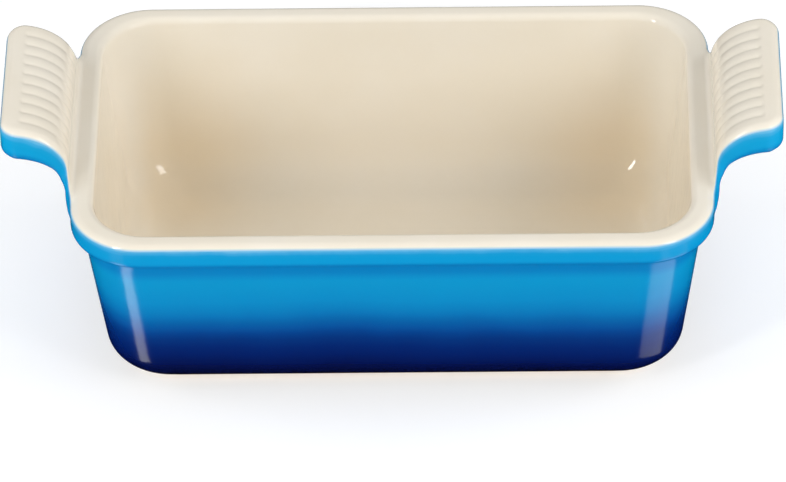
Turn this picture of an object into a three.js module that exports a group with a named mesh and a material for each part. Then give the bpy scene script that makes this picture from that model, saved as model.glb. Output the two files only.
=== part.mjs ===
// Loaf pan of glazed stoneware, in millimetres. +X runs along the pan from handle to handle,
// +Z is up and z = 0 is the flat the foot stands on.
//
// The pan is cast in one piece, so its clay is a single body with the lip, both handles and the
// foot moulded on it. What goes on afterwards is glaze, and each glaze is its own body: cream over
// the inside, the lip and the handle tops, blue over the outside, and a patch within the foot ring.
import * as THREE from "three";

// Pan body
const RIM_LENGTH = 250; // over the lip, without the handles
const RIM_WIDTH = 151;
const HEIGHT = 85; // foot to the top of the lip
const RIM_CORNER = 28; // radius of the lip's outline
const WALL = 5.5;
const FLOOR = 8; // clay and glaze under the loaf
const DRAFT = THREE.MathUtils.degToRad(7); // lean of the walls, so that a loaf drops out
const BASE_ROUND = 20; // outside, wall to foot
const FLOOR_ROUND = 20; // inside, wall to floor
const CORNER_EASE = 0.35; // how fast the corner radius shrinks as the outline narrows below the lip

// Lip: a band round the top that stands out past the wall
const LIP_HEIGHT = 10.8;
const LIP_OVERHANG = 4.5;
const LIP_ROUND = 3; // top edges
const LIP_CREST = 3.7; // top of the outer rounding, inward from the lip's face
const LIP_UNDER_ROUND = 2.1;

// Foot: a flat unglazed ring
const FOOT_WIDTH = 7;
const FOOT_RECESS = 1.5;
const GLAZE_STOP = 3; // height at which the blue glaze is wiped off

// Handles: the lip's band carried out round a wing that climbs steeply, then levels off
const HANDLE_REACH = 27; // past the face of the lip
const HANDLE_RISE = 25; // above the lip
const HANDLE_TIP = 14; // thickness at the tip
const HANDLE_CORNER = 8;
const ROOT_ROUND = 12.5; // where the wing's sides spread into the lip
const ROOT_HOLLOW = 3; // height of the hollow at the foot of the climb
const ROOT_SWELL = 4.5; // how far the underside stands out past the lip at the root
const ROOT_SWELL_DROP = 4; // the swell is fullest this far below the top of the lip
const SWELL_SHARE = 0.2; // part of the underside's climb that lies behind the hollow

// Ribs across the top of each handle
const RIB_PITCH = 6;
const GROOVE_DEPTH = 1.2;
const RIB_MARGIN = 6; // plain border outside the ribs
const RIB_FADE = 4; // length over which a groove runs out at its inner end

const GLAZE = 0.3; // thickness of every glaze coat

// Fineness of the surface
const CORNER_STEPS = 8;
const END_STEPS = 6;
const ROUND_STEPS = 5;

const TOP = HEIGHT;
const LIP_FOOT = HEIGHT - LIP_HEIGHT;
const SLOPE = Math.tan(DRAFT);
const STRAIGHT = RIM_WIDTH / 2 - RIM_CORNER; // half the straight part of each end
const CREST_X = RIM_LENGTH / 2 - LIP_CREST;

// ---------------------------------------------------------------- the skin
// The whole outer skin is one closed net of numbered points, sorted into zones of finish.
const points = [];
const zones = { cream: [], blue: [], bare: [], recess: [] };

function point(x, y, z) {
  points.push(new THREE.Vector3(x, y, z));
  return points.length - 1;
}

function lengthsAlong(row) {
  const at = [0];
  for (let i = 1; i < row.length; i++) {
    at.push(at[i - 1] + points[row[i]].distanceTo(points[row[i - 1]]));
  }
  return at.map((s) => s / at[at.length - 1]);
}

// Fills between two rows that run the same way; they may have different numbers of points.
function strip(zone, a, b) {
  const sa = lengthsAlong(a);
  const sb = lengthsAlong(b);
  let i = 0;
  let j = 0;
  while (i < a.length - 1 || j < b.length - 1) {
    const alongA = j === b.length - 1 || (i < a.length - 1 && sa[i + 1] + sa[i] <= sb[j + 1] + sb[j]);
    const face = alongA ? [a[i], b[j], a[i + 1]] : [a[i], b[j], b[j + 1]];
    if (new Set(face).size === 3) zones[zone].push(face);
    if (alongA) i++;
    else j++;
  }
}

// ---------------------------------------------------------------- the bowl
const cornerAt = (inset) =>
  RIM_CORNER - Math.min(inset, LIP_OVERHANG) - CORNER_EASE * Math.max(0, inset - LIP_OVERHANG);

// One level of the bowl, as four rows that share their end points: the two ends, where the
// handles join, and the two sides, each with the corners next to it. `inset` is measured in from
// the face of the lip, and `scale` draws the level in towards the middle.
function level(inset, z, scale = 1) {
  const r = cornerAt(inset);
  const a = RIM_LENGTH / 2 - inset;
  const b = RIM_WIDTH / 2 - inset;
  const ends = [];
  for (const turn of [1, -1]) {
    const row = [];
    for (let i = 0; i <= END_STEPS; i++) {
      const y = (b - r) * ((2 * i) / END_STEPS - 1);
      row.push(point(turn * a * scale, turn * y * scale, z));
    }
    ends.push(row);
  }
  const sides = [];
  for (const [k, turn] of [1, -1].entries()) {
    const row = [ends[k].at(-1)];
    for (const sx of [1, -1]) {
      for (let i = 0; i <= CORNER_STEPS; i++) {
        const angle = (Math.PI / 2) * (sx > 0 ? i / CORNER_STEPS : 1 - i / CORNER_STEPS);
        const x = sx * (a - r + r * Math.cos(angle));
        const y = b - r + r * Math.sin(angle);
        const onEnd = (sx > 0 && i === 0) || (sx < 0 && i === CORNER_STEPS);
        if (!onEnd) row.push(point(turn * x * scale, turn * y * scale, z));
      }
      if (sx > 0) row.push(point(0, turn * b * scale, z));
    }
    row.push(ends[1 - k][0]);
    sides.push(row);
  }
  return { ends, sides };
}

function join(zone, inner, outer) {
  for (const k of [0, 1]) {
    strip(zone, inner.ends[k], outer.ends[k]);
    strip(zone, inner.sides[k], outer.sides[k]);
  }
}

function joinAll(zone, levels) {
  for (let i = 1; i < levels.length; i++) join(zone, levels[i - 1], levels[i]);
  return levels.at(-1);
}

// The middle of a floor, closed round a single point.
function closeMiddle(zone, around, z, facingUp) {
  const middle = point(0, 0, z);
  for (const row of [...around.ends, ...around.sides]) {
    for (let i = 1; i < row.length; i++) {
      const face = facingUp ? [row[i - 1], row[i], middle] : [row[i], row[i - 1], middle];
      zones[zone].push(face);
    }
  }
}

const outerInset = (z) => LIP_OVERHANG + SLOPE * (LIP_FOOT - z);
const innerInset = (z) => outerInset(z) + WALL / Math.cos(DRAFT);

// Inside, from the middle of the floor up to the crest of the lip
const floorCentre = innerInset(FLOOR + FLOOR_ROUND) + FLOOR_ROUND / Math.cos(DRAFT);
const inside = [level(floorCentre, FLOOR, 0.5), level(floorCentre, FLOOR)];
for (let i = 1; i <= ROUND_STEPS; i++) {
  const angle = ((Math.PI / 2 - DRAFT) * i) / ROUND_STEPS;
  const z = FLOOR + FLOOR_ROUND * (1 - Math.cos(angle));
  inside.push(level(floorCentre - FLOOR_ROUND * Math.sin(angle), z));
}
const lipCentre = innerInset(TOP - LIP_ROUND) - LIP_ROUND / Math.cos(DRAFT);
for (let i = 0; i <= 3; i++) {
  const angle = DRAFT + ((Math.PI / 2 - DRAFT) * i) / 3;
  const z = TOP - LIP_ROUND * (1 - Math.sin(angle));
  inside.push(level(lipCentre + LIP_ROUND * Math.cos(angle), z));
}
const crest = level(LIP_CREST, TOP);
inside.push(crest);
closeMiddle("cream", inside[0], FLOOR, true);
joinAll("cream", inside);

// ---------------------------------------------------------------- the handles
// A handle is a slab bent along two curves, one for its top and one for its underside. Each runs
// out from the crest of the lip, turns upright, climbs and levels off at the tip.
const EXTRA = 1; // the last straight runs a little past the tip
const FACE_X = RIM_LENGTH / 2;
const HOLLOW_X = FACE_X - LIP_CREST / 4;
const TIP_X = FACE_X + HANDLE_REACH - LIP_CREST;
const TIP_TOP = TOP + HANDLE_RISE;

function bentCurve(startZ, climbX, climbZ, tipZ) {
  const quarter = Math.PI / 2;
  const start = new THREE.Vector2(HOLLOW_X, startZ);
  const tip = new THREE.Vector2(TIP_X, tipZ);
  const turnX = climbX - HOLLOW_X;
  const path = new THREE.CurvePath();
  path.add(new THREE.LineCurve(new THREE.Vector2(CREST_X, startZ), start));
  path.add(new THREE.EllipseCurve(HOLLOW_X, climbZ, turnX, climbZ - startZ, -quarter, 0, false));
  path.add(
    new THREE.EllipseCurve(TIP_X, climbZ, TIP_X - climbX, tipZ - climbZ, Math.PI, quarter, true),
  );
  path.add(new THREE.LineCurve(tip, new THREE.Vector2(TIP_X + LIP_CREST + EXTRA, tipZ)));
  return path;
}
const topCurve = bentCurve(TOP, HOLLOW_X + ROOT_HOLLOW / 2, TOP + ROOT_HOLLOW, TIP_TOP);
const underCurve = bentCurve(
  LIP_FOOT,
  FACE_X + ROOT_SWELL,
  TOP - ROOT_SWELL_DROP,
  TIP_TOP - HANDLE_TIP,
);

// Distances along both curves at which the slab's two faces lie opposite each other: crest,
// start of the hollow, end of the hollow, tip. The swell outside lies all round the hollow.
const topAt = [0, ...topCurve.getCurveLengths()];
const underAt = [0, ...underCurve.getCurveLengths()];
underAt[2] += SWELL_SHARE * (underAt[3] - underAt[2]);
const [, HOLLOW_START, HOLLOW_END, TIP_S] = topAt;

// A place in the slab: s along the top curve, w from the top (0) to the underside (1).
function inSlab(s, w) {
  const piece = Math.max(0, topAt.findLastIndex((start, i) => i < 4 && s >= start));
  const t = (s - topAt[piece]) / (topAt[piece + 1] - topAt[piece]);
  const top = topCurve.getPoint(s / topAt[4]);
  const u = THREE.MathUtils.lerp(underAt[piece], underAt[piece + 1], t);
  const under = underCurve.getPoint(u / underAt[4]);
  return { at: top.clone().lerp(under, w), depth: top.distanceTo(under) };
}
function slabPoint(turn, s, y, w) {
  const { at } = inSlab(s, w);
  return point(turn * at.x, turn * y, at.y);
}

// Outline of the wing's flat top, inside its rounded edge, at each distance s from the crest
const HALF_WIDTH = STRAIGHT - ROOT_ROUND - LIP_CREST;
const SPREAD = ROOT_ROUND + LIP_CREST;
const TIP_ROUND = HANDLE_CORNER - LIP_CREST;
const sideEnd = TIP_S - TIP_ROUND;
const rootS = [
  ...[0, 0.1, 0.35, 0.7].map((f) => f * HOLLOW_START),
  ...[0, 0.2, 0.4, 0.6, 0.8].map((f) => THREE.MathUtils.lerp(HOLLOW_START, HOLLOW_END, f)),
  ...[0, 0.15, 0.4, 0.7, 1].map((f) => THREE.MathUtils.lerp(HOLLOW_END, SPREAD, f)),
];
function halfWidthAt(s) {
  if (s < SPREAD) return STRAIGHT - Math.sqrt(SPREAD ** 2 - (SPREAD - s) ** 2);
  if (s < sideEnd) return HALF_WIDTH;
  const past = Math.min(1, (s - sideEnd) / TIP_ROUND);
  return HALF_WIDTH - TIP_ROUND * (1 - Math.cos(Math.asin(past)));
}
const rootStations = rootS.map((s) => {
  const y = halfWidthAt(s);
  const out = new THREE.Vector2(SPREAD - s, STRAIGHT - y).normalize();
  return { s, y, outS: out.x, outY: out.y };
});
const SIDE_STEPS = 4;
const sideStations = [];
for (let i = 1; i <= SIDE_STEPS; i++) {
  const s = SPREAD + ((sideEnd - SPREAD) * i) / SIDE_STEPS;
  sideStations.push({ s, y: HALF_WIDTH, outS: 0, outY: 1 });
}
const tipStations = [];
for (let i = 1; i <= 3; i++) {
  const angle = (Math.PI / 2) * (i / 3);
  const s = sideEnd + TIP_ROUND * Math.sin(angle);
  tipStations.push({ s, y: halfWidthAt(s), outS: Math.sin(angle), outY: Math.cos(angle) });
}
const rowStations = [...rootStations, ...sideStations];
const halfOutline = [...rowStations, ...tipStations];
const tipY = HALF_WIDTH - TIP_ROUND;
const outline = [
  ...halfOutline.map((q) => ({ ...q, y: -q.y, outY: -q.outY })),
  { s: TIP_S, y: -tipY / 3, outS: 1, outY: 0 },
  { s: TIP_S, y: tipY / 3, outS: 1, outY: 0 },
  ...halfOutline.toReversed(),
];

// The edge band: one section carried all round the pan, along the lip and out round the handles
const UNDER_OUT = LIP_CREST - LIP_UNDER_ROUND;
const bandSection = [];
for (const degrees of [0, 25, 45, 68, 90]) {
  const angle = THREE.MathUtils.degToRad(degrees);
  bandSection.push({ out: LIP_CREST * Math.sin(angle), drop: LIP_ROUND * (1 - Math.cos(angle)) });
}
for (const degrees of [0, 45, 90]) {
  const angle = THREE.MathUtils.degToRad(degrees);
  bandSection.push({
    out: UNDER_OUT + LIP_UNDER_ROUND * Math.cos(angle),
    drop: LIP_HEIGHT - LIP_UNDER_ROUND * (1 - Math.sin(angle)),
  });
}
const CREAM_BANDS = 3; // the cream laps this far over the edge
const band = bandSection.map(({ out, drop }, n) => {
  const flat = n === 0 ? crest : level(LIP_CREST - out, TOP - drop);
  const ends = [1, -1].map((turn, k) =>
    outline.map((q, i) => {
      if (i === 0) return flat.ends[k][0];
      if (i === outline.length - 1) return flat.ends[k].at(-1);
      return slabPoint(turn, q.s + out * q.outS, q.y + out * q.outY, drop / LIP_HEIGHT);
    }),
  );
  return { ends, sides: flat.sides, flat };
});
band.slice(1).forEach((ring, n) => join(n < CREAM_BANDS ? "cream" : "blue", band[n], ring));

// Ribs: rounded between narrow grooves, as deep as the plain top leaves room for
const grooveSpan = 2 * (HALF_WIDTH + LIP_CREST - RIB_MARGIN) - RIB_PITCH / 2;
const GROOVES = Math.max(2, 2 * Math.floor(grooveSpan / RIB_PITCH / 2 + 0.5));
const ribEdge = (GROOVES * RIB_PITCH) / 2;
function grooveDepth(y) {
  if (Math.abs(y) >= ribEdge) return 0;
  const fromRib = Math.abs(y) - RIB_PITCH * Math.round(Math.abs(y) / RIB_PITCH);
  return GROOVE_DEPTH * ((2 * fromRib) / RIB_PITCH) ** 2;
}
const ribStart = SPREAD + RIB_FADE / 2;
const ribEnd = TIP_S - (RIB_MARGIN - LIP_CREST);

function ribbedRow(turn, s, strength) {
  const row = [];
  for (let i = -2 * GROOVES; i <= 2 * GROOVES; i++) {
    const y = (i * RIB_PITCH) / 4;
    if (Math.abs(y) > halfWidthAt(s) - RIB_PITCH / 8) continue;
    const { depth } = inSlab(s, 0);
    row.push(slabPoint(turn, s, y, (strength * grooveDepth(y)) / depth));
  }
  return row;
}
function plainRow(turn, s, halfWidth, w) {
  const row = [];
  for (let i = 1; i < END_STEPS; i++) row.push(slabPoint(turn, s, halfWidth * ((2 * i) / END_STEPS - 1), w));
  return row;
}

const lastBand = band.at(-1);
for (const [k, turn] of [1, -1].entries()) {
  const edge = band[0].ends[k];
  const underEdge = lastBand.ends[k];
  const mirrored = (row, i) => row[outline.length - 1 - i];
  let topRow = crest.ends[k];
  let underRow = lastBand.flat.ends[k];
  const underRows = [];
  rowStations.slice(1).forEach((q, n) => {
    const i = n + 1;
    const strength = THREE.MathUtils.clamp((q.s - ribStart) / RIB_FADE + 1, 0, 1);
    const ribbed = q.s > ribStart - RIB_FADE;
    const middle = ribbed ? ribbedRow(turn, q.s, strength) : plainRow(turn, q.s, q.y, 0);
    const next = [edge[i], ...middle, mirrored(edge, i)];
    strip("cream", topRow, next);
    topRow = next;
    const underS = q.s + UNDER_OUT * q.outS;
    const underY = q.y + UNDER_OUT * q.outY;
    underRows.push([underEdge[i], ...plainRow(turn, underS, underY, 1), mirrored(underEdge, i)]);
  });
  const i = rowStations.length - 1;
  const tipRow = (row) => row.slice(i, outline.length - i);
  for (const strength of [1, 0]) {
    const s = strength ? ribEnd - 0.8 : ribEnd;
    const next = [edge[i], ...ribbedRow(turn, s, strength), mirrored(edge, i)];
    strip("cream", topRow, next);
    topRow = next;
  }
  strip("cream", topRow, tipRow(edge));
  let from = tipRow(underEdge);
  for (const row of underRows.toReversed()) {
    strip("blue", from, row);
    from = row;
  }
  strip("blue", from, underRow);
}

// ---------------------------------------------------------------- the outside of the bowl
// Below the lip, down the wall and round to the foot
const outside = [lastBand.flat];
const underRound = LIP_OVERHANG - (LIP_CREST - UNDER_OUT);
for (let i = 1; i <= 3; i++) {
  const angle = (Math.PI / 2) * (i / 3);
  const inset = LIP_OVERHANG - underRound * (1 - Math.sin(angle));
  const z = LIP_FOOT - underRound * (1 - Math.cos(angle));
  outside.push(level(inset + SLOPE * (LIP_FOOT - z), z));
}
const baseCentre = outerInset(BASE_ROUND) + BASE_ROUND / Math.cos(DRAFT);
const stopAngle = Math.acos(1 - GLAZE_STOP / BASE_ROUND);
for (let i = 0; i <= ROUND_STEPS; i++) {
  const angle = THREE.MathUtils.lerp(Math.PI / 2 - DRAFT, stopAngle, i / ROUND_STEPS);
  const z = BASE_ROUND * (1 - Math.cos(angle));
  outside.push(level(baseCentre - BASE_ROUND * Math.sin(angle), z));
}
const glazeStop = joinAll("blue", outside);

// The foot, bare clay, and the shallow recess inside it
const footEdge = baseCentre - BASE_ROUND * Math.sin(stopAngle) + GLAZE_STOP;
const footInner = footEdge + FOOT_WIDTH;
const foot = joinAll("bare", [
  glazeStop,
  level(footEdge - 1, 0.8),
  level(footEdge, 0),
  level(footInner, 0),
  level(footInner + 1, FOOT_RECESS),
]);
const recess = level(footInner + 3, FOOT_RECESS, 0.5);
join("recess", foot, recess);
closeMiddle("recess", recess, FOOT_RECESS, false);

// ---------------------------------------------------------------- clay and glaze bodies
// The clay's skin lies one glaze thickness under the outer skin wherever there is glaze.
const normals = points.map(() => new THREE.Vector3());
for (const faces of Object.values(zones)) {
  for (const [a, b, c] of faces) {
    const ab = points[b].clone().sub(points[a]);
    const n = ab.cross(points[c].clone().sub(points[a]));
    for (const i of [a, b, c]) normals[i].add(n);
  }
}
const glazed = new Set([...zones.cream, ...zones.blue, ...zones.recess].flat());
const clayPoints = points.map((p, i) =>
  glazed.has(i) ? p.clone().addScaledVector(normals[i].clone().normalize(), -GLAZE) : p,
);

function mesh(name, color, roughness, triangles) {
  const geometry = new THREE.BufferGeometry();
  geometry.setAttribute(
    "position",
    new THREE.Float32BufferAttribute(
      triangles.flat().flatMap((p) => p.toArray()),
      3,
    ),
  );
  geometry.computeVertexNormals();
  const made = new THREE.Mesh(geometry, new THREE.MeshStandardMaterial({ color, roughness }));
  made.name = name;
  return made;
}

// A coat: its outer face, its inner face on the clay, and a wall along each open edge.
function coat(name, color, zone) {
  const triangles = [];
  const open = new Map();
  for (const [a, b, c] of zones[zone]) {
    triangles.push([points[a], points[b], points[c]], [clayPoints[a], clayPoints[c], clayPoints[b]]);
    for (const [from, to] of [
      [a, b],
      [b, c],
      [c, a],
    ]) {
      if (!open.delete(to + "," + from)) open.set(from + "," + to, [from, to]);
    }
  }
  for (const [from, to] of open.values()) {
    // Two coats that meet must split the wall between them along the same diagonal.
    const outer = from < to ? from : to;
    const inner = from < to ? to : from;
    triangles.push([points[to], points[from], clayPoints[inner]]);
    triangles.push([points[outer], clayPoints[from], clayPoints[to]]);
  }
  return mesh(name, color, 0.15, triangles);
}

const clayFaces = Object.values(zones).flat();
const pan = new THREE.Group();
pan.name = "loaf_pan";
pan.add(
  mesh(
    "stoneware_body",
    0xd9c8ac,
    0.8,
    clayFaces.map((face) => face.map((i) => clayPoints[i])),
  ),
  coat("cream_glaze", 0xe8dfcb, "cream"),
  coat("blue_glaze", 0x0a7fc4, "blue"),
  coat("foot_recess_glaze", 0x1d3a7a, "recess"),
);
export default pan;
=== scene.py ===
import math

import bpy
import numpy as np
from mathutils import Matrix, Vector


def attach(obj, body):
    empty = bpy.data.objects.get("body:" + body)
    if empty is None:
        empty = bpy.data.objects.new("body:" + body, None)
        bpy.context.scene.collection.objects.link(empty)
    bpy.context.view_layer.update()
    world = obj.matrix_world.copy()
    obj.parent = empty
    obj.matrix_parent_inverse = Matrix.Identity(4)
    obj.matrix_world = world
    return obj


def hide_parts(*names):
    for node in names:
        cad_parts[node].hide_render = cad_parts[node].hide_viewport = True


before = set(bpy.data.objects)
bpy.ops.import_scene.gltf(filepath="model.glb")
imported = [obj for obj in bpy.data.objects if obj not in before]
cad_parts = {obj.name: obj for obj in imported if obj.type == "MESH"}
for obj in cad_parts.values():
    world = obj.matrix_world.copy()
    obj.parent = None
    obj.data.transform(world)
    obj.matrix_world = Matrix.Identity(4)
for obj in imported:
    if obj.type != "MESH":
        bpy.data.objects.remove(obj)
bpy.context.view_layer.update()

# Loaf pan of glazed stoneware. Sizes are in millimetres here and become metres when a mesh is made.
# x runs from handle to handle, z is up, and the foot stands on z = 0.

# ------------------------------------------------------------------ sizes
TOP = 85.0  # foot to the top of the lip
HALF_LONG = 125.0
HALF_WIDE = 75.5
RIM_CORNER = 28.0
CORNER_EASE = 0.35
WALL = 5.5
FLOOR = 8.0
DRAFT = math.radians(7)
BASE_ROUND = 20.0
FLOOR_ROUND = 20.0

LIP_HEIGHT = 10.8
LIP_OVERHANG = 4.5
LIP_ROUND = 3.0
LIP_CREST = 3.7
LIP_UNDER_ROUND = 2.1
CREAM_ENDS = math.radians(68)  # how far round the outer rounding the cream glaze laps

FOOT_WIDTH = 7.0
FOOT_RECESS = 1.5
GLAZE_STOP = 3.0

HANDLE_REACH = 27.0
HANDLE_RISE = 25.0
HANDLE_TIP = 14.0
HANDLE_CORNER = 8.0
ROOT_ROUND = 12.5
HOLLOW_START = 2.0  # in from the lip's face, where the handle's top starts to turn up
HOLLOW_WIDTH = 2.6
ROOT_HOLLOW = 6.0
ROOT_SWELL = 4.5
ROOT_SWELL_DROP = 4.0
SWELL_SHARE = 0.2
EDGE_SWELL = 2.2  # the same swell and its height at the handle's sides, where the root is thinner
EDGE_SWELL_DROP = 3.0
SWELL_GROWS = 20.0  # inward from the side until the root is at full thickness

RIB_PITCH = 6.0
RIB_EDGE = 30.0  # half the width of the ribbed patch
GROOVE_DEPTH = 0.55
RIB_FADE = 7.0

GLAZE = 0.3  # thickness of every coat

COLUMNS = 110  # across a handle
CORNER_STEPS = 18
SIDE_STEPS = 24
SAME_POINT = 2000  # points that agree to half a thousandth of a millimetre are one point

LIP_FOOT = TOP - LIP_HEIGHT
SLOPE = math.tan(DRAFT)
STRAIGHT = HALF_WIDE - RIM_CORNER
CREST_X = HALF_LONG - LIP_CREST
SPREAD = ROOT_ROUND + LIP_CREST
HALF_WIDTH = STRAIGHT - SPREAD
UNDER_OUT = LIP_CREST - LIP_UNDER_ROUND


def fade(t):
    """An S-shaped rise from 0 to 1 while t goes from 0 to 1: 3 t^2 - 2 t^3."""
    t = np.clip(t, 0, 1)
    return t * t * (3 - 2 * t)


# ------------------------------------------------------------------ a level of the bowl
def level_stations():
    """Stations round a rounded rectangle, anticlockwise from the right end's near corner. Each has the
    place of its rounding's centre, as a share of the half sides less the radius, and its outward
    direction."""
    across = np.linspace(-1, 1, COLUMNS + 1)
    along = np.linspace(1, -1, SIDE_STEPS + 1)[1:-1]
    turn = np.linspace(0, math.pi / 2, CORNER_STEPS + 1)[1:]
    one = np.ones_like
    end = np.stack([one(across), across, one(across), 0 * across])
    corner = np.stack([one(turn), one(turn), np.cos(turn), np.sin(turn)])
    side = np.stack([along, one(along), 0 * along, one(along)])
    back = corner[:, ::-1] * np.array([[-1], [1], [-1], [1]])
    half = np.concatenate([end, corner, side, back], axis=1)
    return np.concatenate([half, -half], axis=1)


STATIONS = level_stations()
HALF_COUNT = STATIONS.shape[1] // 2


def corner_radius(inset):
    return RIM_CORNER - np.minimum(inset, LIP_OVERHANG) - CORNER_EASE * np.maximum(0, inset - LIP_OVERHANG)


def levels(inset, z, scale=1.0):
    """Rounded rectangles, one for each inset and height: at every station the point is the rounding's
    centre plus the radius times the outward direction, all drawn in towards the middle by scale."""
    inset, z, scale = np.broadcast_arrays(np.atleast_1d(inset).astype(float), z, scale)
    r = corner_radius(inset)[:, None]
    a = (HALF_LONG - inset)[:, None] - r
    b = (HALF_WIDE - inset)[:, None] - r
    px, py, dx, dy = STATIONS
    x = (px * a + dx * r) * scale[:, None]
    y = (py * b + dy * r) * scale[:, None]
    return np.stack([x, y, np.broadcast_to(z[:, None], x.shape)], axis=-1)


def outer_inset(z):
    return LIP_OVERHANG + SLOPE * (LIP_FOOT - z)


def inner_inset(z):
    return outer_inset(z) + WALL / math.cos(DRAFT)


# ------------------------------------------------------------------ the handle's slab
def bent_curve(start_z, climb_x, climb_z, tip_z):
    """A line out from the lip, a quarter ellipse that turns it upright, a quarter ellipse that levels
    it off, and a line past the tip, as (length so far, x, z) and the lengths at which each part starts."""
    hollow_x = HALF_LONG - HOLLOW_START
    tip_x = HALF_LONG + HANDLE_REACH - LIP_CREST
    a = np.linspace(0, math.pi / 2, 400)
    x = [[CREST_X], hollow_x + (climb_x - hollow_x) * np.sin(a), tip_x - (tip_x - climb_x) * np.cos(a)]
    z = [[start_z], climb_z - (climb_z - start_z) * np.cos(a), climb_z + (tip_z - climb_z) * np.sin(a)]
    x = np.concatenate(x + [[tip_x + LIP_CREST + 1]])
    z = np.concatenate(z + [[tip_z]])
    length = np.concatenate([[0], np.cumsum(np.hypot(np.diff(x), np.diff(z)))])
    return length, x, z, length[[0, 1, 400, 800, 801]]


TOP_CURVE = bent_curve(TOP, HALF_LONG - HOLLOW_START + HOLLOW_WIDTH, TOP + ROOT_HOLLOW, TOP + HANDLE_RISE)
UNDER_TIP = TOP + HANDLE_RISE - HANDLE_TIP
UNDER_CURVES = [
    bent_curve(LIP_FOOT, HALF_LONG + swell, TOP - drop, UNDER_TIP)
    for swell, drop in ((EDGE_SWELL, EDGE_SWELL_DROP), (ROOT_SWELL, ROOT_SWELL_DROP))
]
TOP_AT = TOP_CURVE[3]
TIP_S = TOP_AT[3]
TIP_ROUND = HANDLE_CORNER - LIP_CREST
SIDE_END = TIP_S - TIP_ROUND
RIB_START = 10.0  # out along the top
RIB_END = TIP_S - 3.6
RIB_END_FADE = 1.4
PLAIN_EDGE = 0.8  # beside the outline, where the ribbing dies out
ROOT_TURN = math.radians(14)  # of the root rounding, over which the band starts to climb


def in_slab(s, y, w, turn, swelled=0.0):
    """A point of the handle: s is the distance out along the top curve, w the share of the way from
    the top curve (0) to the underside curve (1), y the place across. swelled is the share of the
    root's full thickness, which it has only away from its sides. turn is 1 right and -1 left."""
    top = np.stack([np.interp(s, TOP_CURVE[0], TOP_CURVE[i]) for i in (1, 2)])
    faces = []
    for length, x, z, starts in UNDER_CURVES:
        under_at = starts.copy()
        under_at[2] += SWELL_SHARE * (starts[3] - starts[2])
        u = np.interp(s, TOP_AT, under_at)
        faces.append(np.stack([np.interp(u, length, x), np.interp(u, length, z)]))
    under = faces[0] + (faces[1] - faces[0]) * swelled
    x, z = top + (under - top) * w
    return np.stack([turn * x, turn * y, z], axis=-1)


def handle_rows():
    """Distances s of the rows that cross the handle, half the width of the flat top at each, and the
    outward direction of its outline: a root rounding, straight sides, then a rounded tip corner."""
    root = np.linspace(0, math.pi / 2, 29)
    side = np.linspace(SPREAD, SIDE_END, 33)[1:]
    tip = np.linspace(0, math.pi / 2, 10)[1:]
    s = np.concatenate([SPREAD * (1 - np.cos(root)), side, SIDE_END + TIP_ROUND * np.sin(tip)])
    y = np.concatenate(
        [
            STRAIGHT - SPREAD * np.sin(root),
            np.full(side.shape, HALF_WIDTH),
            HALF_WIDTH - TIP_ROUND * (1 - np.cos(tip)),
        ]
    )
    out_s = np.concatenate([np.cos(root), 0 * side, np.sin(tip)])
    out_y = np.concatenate([np.sin(root), 0 * side + 1, np.cos(tip)])
    climbs = np.concatenate([fade(root / ROOT_TURN), 0 * side + 1, 0 * tip + 1])
    return s, y, out_s, out_y, climbs


ROW_S, ROW_Y, ROW_OUT_S, ROW_OUT_Y, ROW_CLIMBS = handle_rows()


def groove(s, y):
    """Depth of the ribbing: between ribs it falls to a narrow groove, with the square of the distance
    from the middle of the nearest rib. It fades in over RIB_FADE and ends short of the tip."""
    from_rib = np.abs(np.abs(y) - RIB_PITCH * np.round(np.abs(y) / RIB_PITCH)) * 2 / RIB_PITCH
    depth = GROOVE_DEPTH * from_rib**2
    start = fade((s - RIB_START) / RIB_FADE)
    end = fade((RIB_END - s) / RIB_END_FADE)
    return depth * start * end * (np.abs(y) < RIB_EDGE)


def handle_top(turn):
    """The flat of a handle: rows across it, each as wide as the outline, sunk by the ribbing."""
    across = np.linspace(-1, 1, COLUMNS + 1)
    s = np.broadcast_to(ROW_S[:, None], (ROW_S.size, across.size))
    y = ROW_Y[:, None] * across
    near_edge = fade((ROW_Y[:, None] - np.abs(y)) / PLAIN_EDGE)
    return in_slab(s, y, groove(s, y) * near_edge / HANDLE_TIP, turn)


def handle_underside(turn):
    """The back of a handle: the same rows, each wider by what the band's lower rounding leaves."""
    across = np.linspace(-1, 1, COLUMNS + 1)
    s = (ROW_S + UNDER_OUT * ROW_OUT_S)[:, None] + 0 * across
    y = (ROW_Y + UNDER_OUT * ROW_OUT_Y)[:, None] * across
    from_side = (ROW_Y + UNDER_OUT * ROW_OUT_Y)[:, None] - np.abs(y)
    climbing = in_slab(s, y, 1.0, turn, fade(from_side / SWELL_GROWS))
    flat = np.stack([turn * (CREST_X + s), turn * y, np.full(s.shape, LIP_FOOT)], axis=-1)
    mix = ROW_CLIMBS[:, None, None]
    return flat + (climbing - flat) * mix


def band_section(first, last):
    """The lip's outer edge in section, as (distance out from the crest, drop below the top): an
    elliptical rounding, a straight face and a lower rounding. first and last are angles of the upper
    rounding; the rest of the section follows when last is a right angle."""
    a = np.linspace(first, last, 12)
    out, drop = [LIP_CREST * np.sin(a)], [LIP_ROUND * (1 - np.cos(a))]
    if last > math.radians(89):
        face = np.linspace(LIP_ROUND, LIP_HEIGHT - LIP_UNDER_ROUND, 9)[1:]
        a = np.linspace(0, math.pi / 2, 10)[1:]
        out += [0 * face + LIP_CREST, UNDER_OUT + LIP_UNDER_ROUND * np.cos(a)]
        drop += [face, LIP_HEIGHT - LIP_UNDER_ROUND * (1 - np.sin(a))]
    return np.concatenate(out), np.concatenate(drop)


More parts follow.
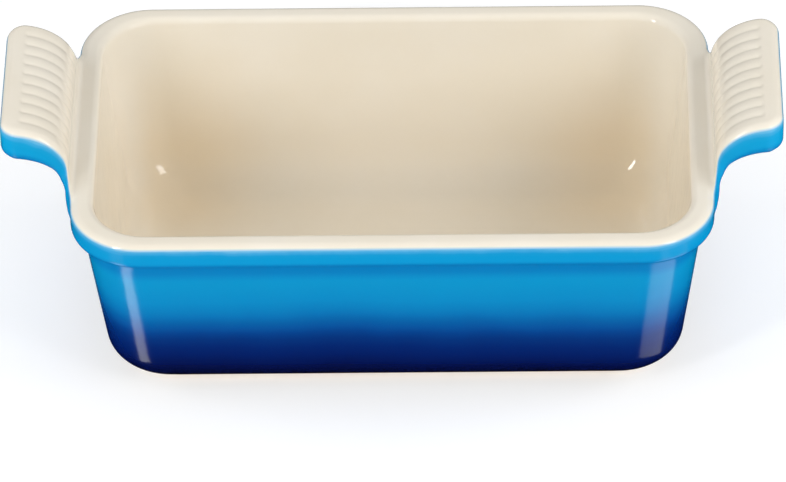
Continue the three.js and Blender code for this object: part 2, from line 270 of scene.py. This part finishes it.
def band_rings(out, drop):
    """The band's section carried round the whole pan: along the lip as a level of the bowl, and at the
    ends out round each handle's outline. Near each root it goes over smoothly from one to the other."""
    flat = levels(LIP_CREST - out, TOP - drop)
    tip_across = np.linspace(-1, 1, COLUMNS + 1)[1:-1]
    s = np.concatenate([ROW_S, np.full(tip_across.shape, TIP_S), ROW_S[::-1]])
    y = np.concatenate([-ROW_Y, tip_across * ROW_Y[-1], ROW_Y[::-1]])
    out_s = np.concatenate([ROW_OUT_S, 0 * tip_across + 1, ROW_OUT_S[::-1]])
    out_y = np.concatenate([-ROW_OUT_Y, 0 * tip_across, ROW_OUT_Y[::-1]])
    climbs = np.concatenate([ROW_CLIMBS, 0 * tip_across + 1, ROW_CLIMBS[::-1]])[:, None]
    rings = []
    for turn, start in ((1, 0), (-1, HALF_COUNT)):
        reach = s + out[:, None] * out_s
        across = y + out[:, None] * out_y
        climbing = in_slab(reach, across, (drop / LIP_HEIGHT)[:, None], turn)
        level_z = np.broadcast_to((TOP - drop)[:, None], reach.shape)
        straight = np.stack([turn * (CREST_X + reach), turn * across, level_z], axis=-1)
        along_lip = flat[:, start + COLUMNS + 1 : start + HALF_COUNT]
        rings += [straight + (climbing - straight) * climbs, along_lip]
    return np.concatenate(rings, axis=1)


# ------------------------------------------------------------------ meshes
def grid(points, closed, flip=False):
    """Faces between neighbouring rows and columns of a grid of points, as (points, faces)."""
    rows, columns = points.shape[:2]
    number = np.arange(rows * columns).reshape(rows, columns)
    if closed:
        number = np.concatenate([number, number[:, :1]], axis=1)
    corners = [number[:-1, :-1], number[:-1, 1:], number[1:, 1:], number[1:, :-1]]
    faces = np.stack(corners, axis=-1).reshape(-1, 4)
    return points.reshape(-1, 3), faces if flip else faces[:, ::-1]


def to_middle(ring, z, flip):
    """A flat floor inside a ring: rings drawn in evenly until the last is a single point."""
    scale = np.linspace(1, 0, 9)[:, None, None]
    middle = np.array([0, 0, z])
    return grid(middle + (ring - middle) * scale, True, flip)


def joined(parts):
    """Grids that share edges, as one net: points that coincide are made one, and each point keeps the
    number of the first point that it stands for."""
    points = np.concatenate([p for p, _ in parts])
    starts = np.cumsum([0] + [len(p) for p, _ in parts])
    faces = np.concatenate([f + start for (_, f), start in zip(parts, starts)])
    places = np.round(points * SAME_POINT).astype(np.int64)
    _, first, same = np.unique(places, axis=0, return_index=True, return_inverse=True)
    return points[first], same.ravel()[faces], first


def outward(points, faces):
    """At each point, the sum of its faces' area vectors (half the cross product of a face's diagonals),
    made one long."""
    corners = points[faces]
    area = np.cross(corners[:, 2] - corners[:, 0], corners[:, 3] - corners[:, 1])
    total = np.zeros_like(points)
    for k in range(4):
        np.add.at(total, faces[:, k], area)
    return total / np.linalg.norm(total, axis=1, keepdims=True)


def piece(name, node_name, net, material, slot, thickness=0.0, **fields):
    """A named piece that stands in for the CAD node called node_name, from a net of points and
    four-sided faces, a face at a pole losing its doubled corner. thickness gives a coat its depth
    inward, and fields are numbers at every point that the material reads."""
    points, faces = net
    keep = faces != np.roll(faces, -1, axis=1)
    sizes = keep.sum(axis=1)
    mesh = bpy.data.meshes.new(name)
    mesh.vertices.add(len(points))
    mesh.vertices.foreach_set("co", (points / 1000).astype(np.float32).ravel())
    mesh.loops.add(int(sizes.sum()))
    mesh.loops.foreach_set("vertex_index", faces[keep].astype(np.int32))
    mesh.polygons.add(len(sizes))
    mesh.polygons.foreach_set("loop_start", (np.cumsum(sizes) - sizes).astype(np.int32))
    mesh.update(calc_edges=True)
    mesh.shade_smooth()
    for field, values in fields.items():
        stored = mesh.attributes.new(field, "FLOAT", "POINT")
        stored.data.foreach_set("value", values.astype(np.float32))
    made = bpy.data.objects.new(name, mesh)
    bpy.context.scene.collection.objects.link(made)
    mesh.materials.append(material)
    if thickness:
        solid = made.modifiers.new("coat", "SOLIDIFY")
        solid.thickness = thickness / 1000
        solid.offset = -1.0
    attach(made, "root")
    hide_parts(node_name)
    return made


# ------------------------------------------------------------------ materials
def linear(code, alpha=1.0):
    """An sRGB hex colour as linear red, green and blue."""
    c = np.array([int(code[i : i + 2], 16) for i in (1, 3, 5)]) / 255
    c = np.where(c <= 0.04045, c / 12.92, ((c + 0.055) / 1.055) ** 2.4)
    return (*[float(v) for v in c], alpha)


def node(tree, kind, settings=None, **links):
    """Adds a node, gives it its settings and input values, and links inputs that name a socket."""
    made = tree.nodes.new(kind)
    for key, value in (settings or {}).items():
        setattr(made, key, value)
    for key, value in links.items():
        socket = made.inputs[int(key[1:]) if key[1:].isdigit() else key.replace("_", " ")]
        if isinstance(value, bpy.types.NodeSocket):
            tree.links.new(value, socket)
        else:
            socket.default_value = value
    return made


def ramp(tree, factor, stops, ease="EASE"):
    """A colour ramp through (place, hex colour) stops."""
    made = node(tree, "ShaderNodeValToRGB", Fac=factor)
    band = made.color_ramp
    band.interpolation = ease
    while len(band.elements) < len(stops):
        band.elements.new(1.0)
    for element, (place, code) in zip(band.elements, stops):
        element.position = place
        element.color = linear(code)
    return made.outputs["Color"]


def new_material(name):
    made = bpy.data.materials.new(name)
    made.use_nodes = True
    tree = made.node_tree
    tree.nodes.clear()
    shader = node(tree, "ShaderNodeBsdfPrincipled")
    node(tree, "ShaderNodeOutputMaterial", Surface=shader.outputs["BSDF"])
    return made, tree, shader


def object_place(tree):
    return node(tree, "ShaderNodeTexCoord").outputs["Object"]


def wavy_skin(tree, place, strength):
    """Fired glaze isn't optically flat: slow ripples about 9 mm across and fine ones of 1.5 mm, a few
    hundredths of a millimetre high, as the melt left them."""
    slow = node(tree, "ShaderNodeTexNoise", Vector=place, Scale=110.0, Detail=2.0)
    fine = node(tree, "ShaderNodeTexNoise", Vector=place, Scale=650.0, Detail=1.0)
    low = node(
        tree, "ShaderNodeBump", Strength=strength, Distance=0.0004, Height=slow.outputs["Fac"]
    )
    both = node(
        tree, "ShaderNodeBump", Strength=strength * 0.35, Distance=0.0001, Height=fine.outputs["Fac"],
        Normal=low.outputs["Normal"],
    )
    return both.outputs["Normal"]


def cream_material():
    """Opaque cream stoneware glaze, fired to a full gloss: faintly clouded warm off-white, and cool where
    it meets the blue. Low down inside and towards the upright corners it is painted darker and warmer,
    as painted shade with the warm cast of light bounced between the cream walls."""
    made, tree, shader = new_material("cream_stoneware_glaze_glossy")
    place = object_place(tree)
    cloud = node(tree, "ShaderNodeTexNoise", Vector=place, Scale=28.0, Detail=3.0)
    body = ramp(tree, cloud.outputs["Fac"], [(0.3, "#E6DECE"), (0.7, "#E8E1D3")])
    # painted shade: darker, warmer cream low inside and near the upright corners
    hollow = node(tree, "ShaderNodeAttribute", {"attribute_name": "in_hollow"})
    hollow_shade_mix = node(
        tree, "ShaderNodeMix", {"data_type": "RGBA"}, _0=hollow.outputs["Fac"], _6=body, _7=linear("#EAD6B5")
    )
    body = hollow_shade_mix.outputs[2]
    edge = node(tree, "ShaderNodeAttribute", {"attribute_name": "to_edge"})
    near = node(
        tree, "ShaderNodeMapRange", {"interpolation_type": "SMOOTHSTEP"}, Value=edge.outputs["Fac"],
        From_Min=0.0, From_Max=1.2, To_Min=0.95, To_Max=0.0,
    )
    mixed = node(
        tree, "ShaderNodeMix", {"data_type": "RGBA"}, _0=near.outputs["Result"], _6=body, _7=linear("#86BEDD")
    )
    tree.links.new(mixed.outputs[2], shader.inputs["Base Color"])
    shader.inputs["Roughness"].default_value = 0.07
    shader.inputs["IOR"].default_value = 1.5
    tree.links.new(wavy_skin(tree, place, 0.25), shader.inputs["Normal"])
    return made


# The blue is sprayed in two colours that fade into each other: azure above, ink blue at the foot. The
# lowest, near-black stops also hold painted shade on the lower wall and on the rounding that turns
# under to the foot.
BLUE_FADE_AND_FOOT_SHADE = [
    (0.0, "#0B0621"), (8.0, "#040B35"), (14.0, "#020F49"), (20.0, "#001B5E"), (25.0, "#002369"),
    (30.0, "#002F75"), (34.0, "#003F87"), (37.5, "#005096"), (41.0, "#005FA1"), (44.0, "#006DAD"),
    (48.0, "#0079B5"), (52.0, "#0083BC"), (61.0, "#008BC0"), (78.0, "#008FC6"), (110.0, "#069ACC"),
]
FADE_TOP = 110.0
LIP_SHADE_SHARE = 0.8  # share of the darker blue painted in the hollow under the lip as its shade
LIP_SHADE_DROP = 7.5  # below the top, where it starts on the lip's band
LIP_SHADE_BLEND = 2.0
LIP_SHADE_DEPTH = 10.5  # below the lip's foot, where it ends on the wall
LIP_SHADE_WALL_BLEND = 4.5
THIN_GLAZE = 4.0  # millimetres below the cream over which the blue gains its full depth


def blue_material():
    """Glossy coloured glaze over the outside. Two sprayed blues fade into each other with height, the
    fade wanders by a few millimetres as a hand-held spray does, and the darkest stops near the foot
    also hold painted shade on the lower wall and the rounding under it. The coat is paler where it runs
    thin against the cream, and painted darker in the hollow under the lip as painted shade under the
    overhang."""
    made, tree, shader = new_material("blue_stoneware_glaze_glossy")
    place = object_place(tree)
    wander = node(tree, "ShaderNodeTexNoise", Vector=place, Scale=16.0, Detail=3.0)
    height = node(tree, "ShaderNodeSeparateXYZ", Vector=place).outputs["Z"]
    shift = node(
        tree, "ShaderNodeMapRange", Value=wander.outputs["Fac"], From_Min=0.0, From_Max=1.0,
        To_Min=-0.0045, To_Max=0.0045,
    )
    moved = node(tree, "ShaderNodeMath", {"operation": "ADD"}, _0=height, _1=shift.outputs["Result"])
    share = node(
        tree, "ShaderNodeMapRange", Value=moved.outputs[0], From_Min=0.0, From_Max=FADE_TOP / 1000
    )
    # the two-tone fade, with painted shade low on the wall held in its darkest stops
    body = ramp(tree, share.outputs["Result"], [(z / FADE_TOP, code) for z, code in BLUE_FADE_AND_FOOT_SHADE], "LINEAR")
    edge = node(tree, "ShaderNodeAttribute", {"attribute_name": "below_edge"})
    ragged = node(tree, "ShaderNodeTexNoise", Vector=place, Scale=90.0, Detail=2.0)
    uneven = node(
        tree, "ShaderNodeMapRange", Value=ragged.outputs["Fac"], From_Min=0.0, From_Max=1.0,
        To_Min=-0.9, To_Max=0.9,
    )
    depth = node(
        tree, "ShaderNodeMath", {"operation": "ADD"}, _0=edge.outputs["Fac"], _1=uneven.outputs["Result"]
    )
    depth = node(tree, "ShaderNodeMapRange", Value=depth.outputs[0], From_Min=0.0, From_Max=THIN_GLAZE)
    thinness = [(0.0, "#C8C8C8"), (0.25, "#787878"), (0.6, "#262626"), (1.0, "#000000")]
    thin = ramp(tree, depth.outputs["Result"], thinness)
    # painted shade under the lip's overhang, read from a field at every point
    pool = node(tree, "ShaderNodeAttribute", {"attribute_name": "pooled"})
    lip_shade_mix = node(
        tree, "ShaderNodeMix", {"data_type": "RGBA"}, _0=pool.outputs["Fac"], _6=body, _7=linear("#0073B4")
    )
    body = lip_shade_mix.outputs[2]
    mixed = node(tree, "ShaderNodeMix", {"data_type": "RGBA"}, _0=thin, _6=body, _7=linear("#7CBBDC"))
    tree.links.new(mixed.outputs[2], shader.inputs["Base Color"])
    shader.inputs["Roughness"].default_value = 0.15
    shader.inputs["IOR"].default_value = 1.5
    tree.links.new(wavy_skin(tree, place, 0.2), shader.inputs["Normal"])
    return made


def clay_material():
    """Fired buff stoneware, wiped clean of glaze where the pan stands: dry and matt, with sand-sized
    grog of about 0.6 mm and iron specks."""
    made, tree, shader = new_material("bare_stoneware_matt")
    place = object_place(tree)
    grain = node(tree, "ShaderNodeTexNoise", Vector=place, Scale=900.0, Detail=4.0)
    body = ramp(tree, grain.outputs["Fac"], [(0.35, "#B89C78"), (0.5, "#CDB594"), (0.65, "#DAC5A6")])
    speck = node(tree, "ShaderNodeTexVoronoi", Vector=place, Scale=420.0)
    spots = ramp(tree, speck.outputs["Distance"], [(0.06, "#FFFFFF"), (0.12, "#000000")])
    mixed = node(tree, "ShaderNodeMix", {"data_type": "RGBA"}, _0=spots, _6=body, _7=linear("#7A5A3C"))
    tree.links.new(mixed.outputs[2], shader.inputs["Base Color"])
    shader.inputs["Roughness"].default_value = 0.85
    shader.inputs["IOR"].default_value = 1.5
    rough = node(tree, "ShaderNodeBump", Strength=0.5, Distance=0.0002, Height=grain.outputs["Fac"])
    tree.links.new(rough.outputs["Normal"], shader.inputs["Normal"])
    return made


def recess_material():
    """The patch of ink-blue glaze inside the foot ring, sprayed thinly, so it is less glossy and
    mottled at about 4 mm."""
    made, tree, shader = new_material("ink_blue_stoneware_glaze_thin")
    place = object_place(tree)
    mottle = node(tree, "ShaderNodeTexNoise", Vector=place, Scale=240.0, Detail=3.0)
    body = ramp(tree, mottle.outputs["Fac"], [(0.3, "#121440"), (0.7, "#0E2268")])
    tree.links.new(body, shader.inputs["Base Color"])
    shader.inputs["Roughness"].default_value = 0.2
    shader.inputs["IOR"].default_value = 1.5
    tree.links.new(wavy_skin(tree, place, 0.4), shader.inputs["Normal"])
    return made


# ------------------------------------------------------------------ the pan
floor_centre = inner_inset(FLOOR + FLOOR_ROUND) + FLOOR_ROUND / math.cos(DRAFT)
lip_centre = inner_inset(TOP - LIP_ROUND) - LIP_ROUND / math.cos(DRAFT)
base_centre = outer_inset(BASE_ROUND) + BASE_ROUND / math.cos(DRAFT)
stop_angle = math.acos(1 - GLAZE_STOP / BASE_ROUND)
upright = math.pi / 2 - DRAFT

# Inside: floor rounding, wall, inner rounding of the lip, crest
round_up = np.linspace(0, upright, 16)
lip_over = np.linspace(DRAFT, math.pi / 2, 9)
wall_foot = FLOOR + FLOOR_ROUND * (1 - math.sin(DRAFT))
wall_head = TOP - LIP_ROUND * (1 - math.sin(DRAFT))
wall_z = np.linspace(wall_foot, wall_head, 14)[1:-1]
inside = np.concatenate(
    [
        levels(floor_centre - FLOOR_ROUND * np.sin(round_up), FLOOR + FLOOR_ROUND * (1 - np.cos(round_up))),
        levels(inner_inset(wall_z), wall_z),
        levels(lip_centre + LIP_ROUND * np.cos(lip_over), TOP - LIP_ROUND * (1 - np.sin(lip_over))),
        levels(LIP_CREST, TOP),
    ]
)

# Outside: hollow under the lip, wall, rounding down to where the glaze is wiped off
under_round = LIP_OVERHANG - (LIP_CREST - UNDER_OUT)
tuck = np.linspace(0, math.pi / 2, 9)
tuck_z = LIP_FOOT - under_round * (1 - np.cos(tuck))
base_turn = np.linspace(upright, stop_angle, 18)
wall_down = np.linspace(tuck_z[-1], BASE_ROUND * (1 - math.sin(DRAFT)), 14)[1:-1]
outside = np.concatenate(
    [
        levels(LIP_OVERHANG - under_round * (1 - np.sin(tuck)) + SLOPE * (LIP_FOOT - tuck_z), tuck_z),
        levels(outer_inset(wall_down), wall_down),
        levels(base_centre - BASE_ROUND * np.sin(base_turn), BASE_ROUND * (1 - np.cos(base_turn))),
    ]
)

foot_edge = base_centre - BASE_ROUND * math.sin(stop_angle) + GLAZE_STOP
foot_inner = foot_edge + FOOT_WIDTH
foot_inset = np.array([foot_edge - GLAZE_STOP, foot_edge - 1, foot_edge, foot_inner, foot_inner + 1])
foot_z = np.array([GLAZE_STOP, 0.8, 0, 0, FOOT_RECESS])
foot = levels(foot_inset, foot_z)

cream_out, cream_drop = band_section(0, CREAM_ENDS)
blue_out, blue_drop = band_section(CREAM_ENDS, math.pi / 2)
cream_band = band_rings(cream_out, cream_drop)
blue_band = band_rings(blue_out, blue_drop)


def down_the_band(out, drop):
    """Distance along the section from its first point, in millimetres."""
    return np.concatenate([[0], np.cumsum(np.hypot(np.diff(out), np.diff(drop)))])


cream_parts = [to_middle(inside[0], FLOOR, True), grid(inside, True), grid(cream_band, True)]
cream_parts += [grid(handle_top(turn), False) for turn in (1, -1)]
blue_parts = [grid(blue_band, True), grid(outside, True)]
blue_parts += [grid(handle_underside(turn), False, True) for turn in (1, -1)]
foot_parts = [grid(foot, True)]
recess_parts = [to_middle(foot[-1], FOOT_RECESS, False)]


# Numbers that the glazes' materials read: distance in millimetres from where cream and blue meet
cream_lengths = down_the_band(cream_out, cream_drop)
to_edge = [np.full(len(p), 20.0) for p, _ in cream_parts]
to_edge[2] = np.repeat(cream_lengths[-1] - cream_lengths, cream_band.shape[1])
below_edge = [np.full(len(p), 20.0) for p, _ in blue_parts]
below_edge[0] = np.repeat(down_the_band(blue_out, blue_drop), blue_band.shape[1])

# Painted shade under the lip: the band's lower rounding and the wall just below it are given a darker blue,
# as the overhang shades them.
pooled = [0 * values for values in below_edge]
outside_z = outside[:, 0, 2]
band_shade = fade((blue_drop - LIP_SHADE_DROP) / LIP_SHADE_BLEND)
wall_shade = fade((outside_z - LIP_FOOT + LIP_SHADE_DEPTH) / LIP_SHADE_WALL_BLEND)
pooled[0] = np.repeat(LIP_SHADE_SHARE * band_shade, blue_band.shape[1])
pooled[1] = np.repeat(LIP_SHADE_SHARE * wall_shade, outside.shape[1])

cream_points, cream_faces, cream_first = joined(cream_parts)
# Painted shade: the cream is painted darker and warmer low down, and most of all on the long walls near
# the upright corners, where the walls shade each other and light bounces between them. Each pair is
# where the shade starts to change and over what length, in millimetres.
SHADE_ALONG, END_WALL, SHADE_ACROSS, SHADE_UP = (45, 40), (97, 12), (10, 40), (12, 68)
SHADE_LOW, SHADE_CORNER = 0.2, 0.5  # shares of the painted shade low down, and added near the corners


def past(distance, start_and_length):
    """The share of a change that has been passed at each distance."""
    start, length = start_and_length
    return fade((distance - start) / length)


along, across = np.abs(cream_points[:, 0]), np.abs(cream_points[:, 1])
corner_shade = past(along, SHADE_ALONG) * (1 - past(along, END_WALL)) * past(across, SHADE_ACROSS)
in_hollow = (SHADE_LOW + SHADE_CORNER * corner_shade) * (1 - past(cream_points[:, 2], SHADE_UP))
blue_points, blue_faces, blue_first = joined(blue_parts)
recess_points, recess_faces, _ = joined(recess_parts)

skin_points, skin_faces, skin_first = joined(foot_parts + cream_parts + blue_parts + recess_parts)
bare = skin_first < len(foot_parts[0][0])
clay_points = skin_points - outward(skin_points, skin_faces) * np.where(bare, 0, GLAZE)[:, None]

piece("clay_body", "stoneware_body", (clay_points, skin_faces), clay_material(), "fired_clay")
piece(
    "cream_coat", "cream_glaze", (cream_points, cream_faces), cream_material(), "cream_glaze", GLAZE,
    to_edge=np.concatenate(to_edge)[cream_first], in_hollow=in_hollow,
)
piece(
    "blue_coat", "blue_glaze", (blue_points, blue_faces), blue_material(), "blue_glaze", GLAZE,
    below_edge=np.concatenate(below_edge)[blue_first], pooled=np.concatenate(pooled)[blue_first],
)
piece(
    "recess_coat", "foot_recess_glaze", (recess_points, recess_faces), recess_material(),
    "foot_recess_glaze", GLAZE,
)

# ------------------------------------------------------------------ the floor
# A matt, pale table top just below the foot, glowing a little so that it reads white. Reflections
# skip it, so the glaze mirrors the studio's unlit lower half.
TABLE_REACH = 6.0  # metres from the middle
TABLE_DROP = 0.0002  # metres below the foot, so that the two faces stay apart
floor_material, _, floor_shader = new_material("white_table_top")
floor_shader.inputs["Base Color"].default_value = linear("#D8D8D8")
floor_shader.inputs["Roughness"].default_value = 0.9
floor_shader.inputs["Specular IOR Level"].default_value = 0.0
floor_shader.inputs["Emission Color"].default_value = linear("#FFFFFF")
floor_shader.inputs["Emission Strength"].default_value = 0.41
floor_mesh = bpy.data.meshes.new("floor")
table_corners = np.array([(-1, -1, 0), (1, -1, 0), (1, 1, 0), (-1, 1, 0)]) * TABLE_REACH
floor_mesh.from_pydata(table_corners.tolist(), [], [(0, 1, 2, 3)])
floor_mesh.materials.append(floor_material)
floor = bpy.data.objects.new("floor", floor_mesh)
bpy.context.scene.collection.objects.link(floor)
floor.location = (0, 0, -TABLE_DROP)
floor.visible_glossy = False
floor.visible_shadow = False

# A pale round wall stands near the table's edge, for low views. It lights nothing and nothing
# mirrors it.
WALL_REACH = 5.9  # metres
WALL_FOOT, WALL_HEAD = -0.01, 5.0
WALL_STEPS = 96
backdrop_material, _, backdrop_shader = new_material("pale_studio_wall")
backdrop_shader.inputs["Base Color"].default_value = linear("#000000")
backdrop_shader.inputs["Specular IOR Level"].default_value = 0.0
backdrop_shader.inputs["Emission Color"].default_value = linear("#FFFFFF")
backdrop_shader.inputs["Emission Strength"].default_value = 0.62
around = np.linspace(0, 2 * math.pi, WALL_STEPS, endpoint=False)
ring = np.column_stack([np.cos(around), np.sin(around)]) * WALL_REACH
wall_points = np.vstack([np.column_stack([ring, np.full(WALL_STEPS, z)]) for z in (WALL_FOOT, WALL_HEAD)])
step = np.arange(WALL_STEPS)
onward = (step + 1) % WALL_STEPS
wall_faces = np.column_stack([step, step + WALL_STEPS, onward + WALL_STEPS, onward])
wall_mesh = bpy.data.meshes.new("backdrop")
wall_mesh.from_pydata(wall_points.tolist(), [], wall_faces.tolist())
wall_mesh.materials.append(backdrop_material)
backdrop_wall = bpy.data.objects.new("backdrop", wall_mesh)
bpy.context.scene.collection.objects.link(backdrop_wall)
backdrop_wall.visible_glossy = False
backdrop_wall.visible_diffuse = False
backdrop_wall.visible_shadow = False

# ------------------------------------------------------------------ light
world = bpy.data.worlds.new("studio")
bpy.context.scene.world = world
world.use_nodes = True
sky = world.node_tree
sky.nodes.clear()
direction = node(sky, "ShaderNodeTexCoord").outputs["Generated"]
rise = node(sky, "ShaderNodeSeparateXYZ", Vector=direction).outputs["Z"]
share = node(sky, "ShaderNodeMapRange", Value=rise, From_Min=-0.06, From_Max=0.06)
tone = ramp(sky, share.outputs["Result"], [(0.0, "#141416"), (1.0, "#FFFFFF")])
backdrop = node(sky, "ShaderNodeBackground", Color=tone, Strength=0.3)
node(sky, "ShaderNodeOutputWorld", Surface=backdrop.outputs["Background"])


def softbox(name, across, tall, side, rise, distance, brightness, diffuse=True, glossy=True):
    """A rectangular light that faces the pan: side and rise are its direction in degrees from straight
    in front, and brightness is its radiance against a white sheet's. diffuse and glossy say whether it
    lights surfaces and whether they mirror it."""
    lamp = bpy.data.lights.new(name, "AREA")
    lamp.shape = "RECTANGLE"
    lamp.size = across
    lamp.size_y = tall
    lamp.energy = brightness * math.pi * across * tall
    lit = bpy.data.objects.new(name, lamp)
    bpy.context.scene.collection.objects.link(lit)
    turn, lift = math.radians(side), math.radians(rise)
    away = Vector((math.sin(turn) * math.cos(lift), -math.cos(turn) * math.cos(lift), math.sin(lift)))
    lit.location = away * distance
    lit.rotation_euler = away.to_track_quat("Z", "Y").to_euler()
    lit.visible_camera = False
    lit.visible_diffuse = diffuse
    lit.visible_glossy = glossy
    return lit


softbox("panel_left", 1.0, 0.8, -86, 30, 1.4, 2.8, glossy=False)
softbox("panel_right", 1.0, 0.8, 86, 30, 1.4, 3.5, glossy=False)
softbox("panel_front", 1.6, 0.6, 0, 24, 1.6, 2.15, glossy=False)
softbox("panel_back", 1.4, 1.0, 180, 62, 1.6, 0.75, glossy=False)
softbox("strip_left", 0.14, 0.6, -44, 34, 1.4, 16.0)
softbox("bank_right", 0.34, 0.6, 46, 34, 1.5, 6.6)
# The same two lights as a polished table top mirrors them: only reflections show them.
softbox("strip_left_mirrored", 0.34, 0.5, -45, -47, 1.4, 2.6, diffuse=False)
softbox("bank_right_mirrored", 0.9, 0.55, 54, -47, 1.5, 1.2, diffuse=False)

# ------------------------------------------------------------------ camera
YAW, LIFT, ROLL = math.radians(1.326), math.radians(40.0), math.radians(-1.344)
FOCUS = Vector((0, 0, 0.029))
AWAY = 2.735
back = Vector((math.sin(YAW) * math.cos(LIFT), -math.cos(YAW) * math.cos(LIFT), math.sin(LIFT)))
right = Vector((math.cos(YAW), math.sin(YAW), 0))
up = back.cross(right)
rolled_right = right * math.cos(ROLL) + up * math.sin(ROLL)
rolled_up = up * math.cos(ROLL) - right * math.sin(ROLL)
lens = bpy.data.cameras.new("camera")
lens.sensor_width = 36.0
lens.lens = 314.9
lens.shift_x = -0.0031
lens.shift_y = -0.0113
camera = bpy.data.objects.new("camera", lens)
bpy.context.scene.collection.objects.link(camera)
turned = Matrix((rolled_right, rolled_up, back)).transposed().to_4x4()
camera.matrix_world = Matrix.Translation(FOCUS + back * AWAY) @ turned
bpy.context.scene.camera = camera
bpy.context.scene.view_settings.view_transform = "Standard"
